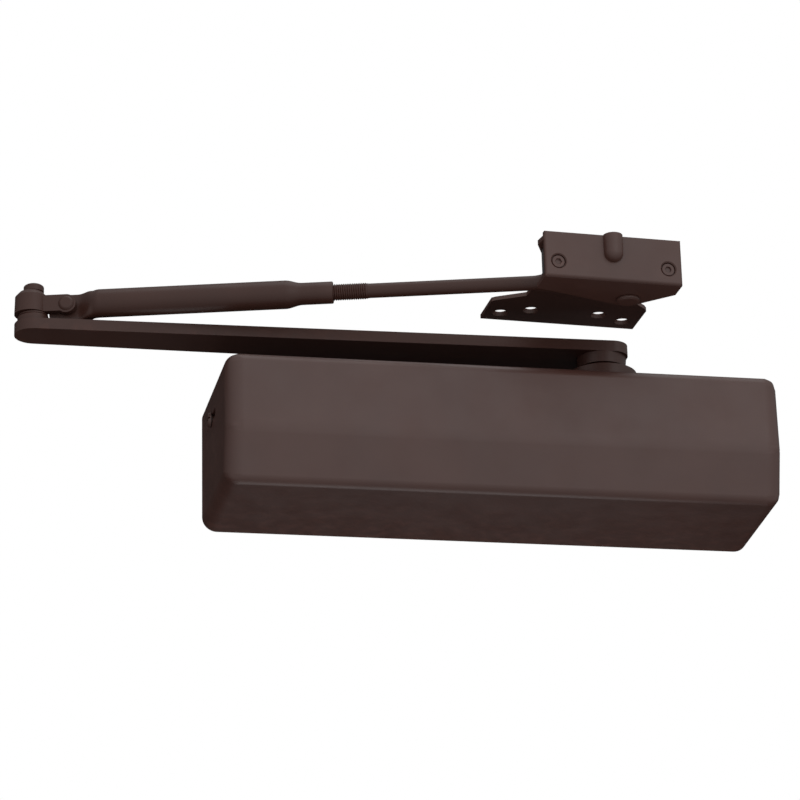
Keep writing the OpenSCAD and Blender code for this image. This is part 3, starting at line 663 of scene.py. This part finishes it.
def make_housing():
    """The pressed sheet housing: a front wall bent into two flanges, a boss and two screw wells."""
    wall = plate_of([(SHOE_LEFT_X, SHOE_FRONT), (SHOE_RIGHT_X, SHOE_FRONT),
                     (SHOE_RIGHT_X, SHOE_FRONT + SHEET), (SHOE_LEFT_X, SHOE_FRONT + SHEET)],
                    HOUSING_LOW.z, WALL_TOP)
    lower = cutter(plate_of(flange_outline([(SHOE_LEFT_X, SHOE_FRONT + LEFT_DEPTH)]),
                            HOUSING_LOW.z, HOUSING_LOW.z + SHEET))
    upper = cutter(plate_of(flange_outline([(SHOE_LEFT_X - EAR_REACH, SHOE_FRONT + EAR_DEPTH),
                                            (SHOE_LEFT_X + 4 * MM, SHOE_FRONT + LEFT_DEPTH + 2 * MM)]),
                            FLANGE_TOP - SHEET, FLANGE_TOP))
    shape = baked(wall, cut_by(lower, "UNION"), cut_by(upper, "UNION"), helpers=[lower, upper])
    bm = rejoined(shape)

    def near(values, target):
        return all(abs(v - target) < 0.05 * MM for v in values)

    def weight_of(edge):
        xs, ys, zs = zip(*(v.co for v in edge.verts))
        if near(ys, SHOE_FRONT) and near(zs, HOUSING_LOW.z):
            return 1.0
        if near(ys, SHOE_FRONT) and (near(xs, SHOE_LEFT_X) or near(xs, SHOE_RIGHT_X)):
            return SIDE_BEND / BOTTOM_BEND
        return 0.12

    set_bevel_weights(bm, weight_of)
    shape = baked(from_bmesh(bm), bevel(BOTTOM_BEND, 6))
    boss = cutter(boss_mesh())
    tools = [boss, round_cutter(PIN_HOLE, HOUSING_LOW.z - PIN_HOLE, WALL_TOP + PIN_HOLE, (0, 0, 0))]
    well = [(WELL_RADIUS + WELL_LIP, SHOE_FRONT - 0.4 * MM), (WELL_RADIUS, SHOE_FRONT + 0.6 * MM),
            (WELL_RADIUS, SHOE_FRONT + WELL_DEPTH), (WELL_HOLE, SHOE_FRONT + WELL_DEPTH),
            (WELL_HOLE, SHOE_FRONT + 2 * SHEET)]
    tools += [turned_cutter(well, x, SCREW_Z) for x in SCREW_X]
    steps = [cut_by(boss, "UNION"), *[cut_by(tool) for tool in tools[1:]]]
    mesh = baked(smooth(baked(shape, *steps, helpers=tools), 38), WEIGHTED)
    new_piece("pressed_housing", placed(mesh, ON_SHOE), "shoe_housing")


make_housing()


# ---------- studio ----------

LOOK_AT = Vector((-0.0483, -0.0221, 0.0411))
CAMERA_DISTANCE = 1.9686
CAMERA_AZIMUTH = -10.728
CAMERA_ELEVATION = -21.578
CAMERA_ROLL = 1.382
CAMERA_LENS = 153.0
FLOOR_Z = -1.7
TOWARDS_LIGHT = (0.08, -0.94, 0.33)
WORLD_GLOW = (0.02, 1.02)
LIGHTS_AIM = Vector((0, 0, 0.04))


def make_camera():
    azimuth, elevation = math.radians(CAMERA_AZIMUTH), math.radians(CAMERA_ELEVATION)
    level_back = Vector((math.sin(azimuth), -math.cos(azimuth), 0))
    back = level_back * math.cos(elevation) + Vector((0, 0, math.sin(elevation)))
    data = bpy.data.cameras.new("camera")
    data.lens = CAMERA_LENS
    data.sensor_width = 36
    data.clip_start = 0.1
    data.clip_end = 60
    camera = bpy.data.objects.new("camera", data)
    bpy.context.scene.collection.objects.link(camera)
    camera.rotation_mode = "QUATERNION"
    camera.location = LOOK_AT + back * CAMERA_DISTANCE
    level = (-back).to_track_quat("-Z", "Y")
    roll = Matrix.Rotation(math.radians(CAMERA_ROLL), 3, -back).to_quaternion()
    camera.rotation_quaternion = roll @ level
    bpy.context.scene.camera = camera


def make_floor():
    bm = bmesh.new()
    bmesh.ops.create_grid(bm, x_segments=4, y_segments=4, size=14)
    floor = bpy.data.objects.new("floor", from_bmesh(bm))
    bpy.context.scene.collection.objects.link(floor)
    floor.location.z = FLOOR_Z
    material, tree, shader, where = start_material("pale_floor")
    colour = blend_colour(tree, noise(tree, where, 0.6, 2), (0.84, 0.84, 0.84), (0.9, 0.9, 0.9))
    tree.links.new(colour, shader.inputs["Base Color"])
    shader.inputs["Roughness"].default_value = 0.9
    floor.data.materials.append(material)
    floor.visible_diffuse = False
    floor.visible_glossy = False
    floor.visible_shadow = False


def soft_light(name, place, size_x, size_y, power, sheen=1.0):
    data = bpy.data.lights.new(name, "AREA")
    data.shape = "RECTANGLE"
    data.size = size_x
    data.size_y = size_y
    data.energy = power
    data.specular_factor = sheen
    light = bpy.data.objects.new(name, data)
    bpy.context.scene.collection.objects.link(light)
    light.location = place
    light.rotation_mode = "QUATERNION"
    light.rotation_quaternion = (LIGHTS_AIM - light.location).to_track_quat("-Z", "Y")
    light.visible_camera = False


def make_world():
    """White to the camera. As a light, it is bright in front of the door and dim behind it."""
    world = bpy.data.worlds.new("studio")
    bpy.context.scene.world = world
    world.use_nodes = True
    tree = world.node_tree
    tree.nodes.clear()
    direction = tree.nodes.new("ShaderNodeTexCoord").outputs["Generated"]
    facing = tree.nodes.new("ShaderNodeVectorMath")
    facing.operation = "DOT_PRODUCT"
    facing.inputs[1].default_value = TOWARDS_LIGHT
    tree.links.new(direction, facing.inputs[0])
    glow = ramp(tree, facing.outputs["Value"], -0.7, 1, *WORLD_GLOW)
    lit = tree.nodes.new("ShaderNodeBackground")
    tree.links.new(glow, lit.inputs["Strength"])
    seen = tree.nodes.new("ShaderNodeBackground")
    seen.inputs["Strength"].default_value = 1.0
    for shade in (lit, seen):
        shade.inputs["Color"].default_value = (1, 1, 1, 1)
    mix = tree.nodes.new("ShaderNodeMixShader")
    tree.links.new(tree.nodes.new("ShaderNodeLightPath").outputs["Is Camera Ray"], mix.inputs[0])
    tree.links.new(lit.outputs[0], mix.inputs[1])
    tree.links.new(seen.outputs[0], mix.inputs[2])
    out = tree.nodes.new("ShaderNodeOutputWorld")
    tree.links.new(mix.outputs[0], out.inputs["Surface"])


make_camera()
make_floor()
make_world()
soft_light("front_key", (1.0, -2.6, 0.8), 2.2, 2.2, 5)
soft_light("top_fill", (0.2, -0.4, 2.2), 1.8, 1.8, 7)
soft_light("under_fill", (-0.02, 0.16, -0.42), 0.5, 0.3, 0.5, 0.25)
bpy.context.scene.view_settings.view_transform = "Standard"
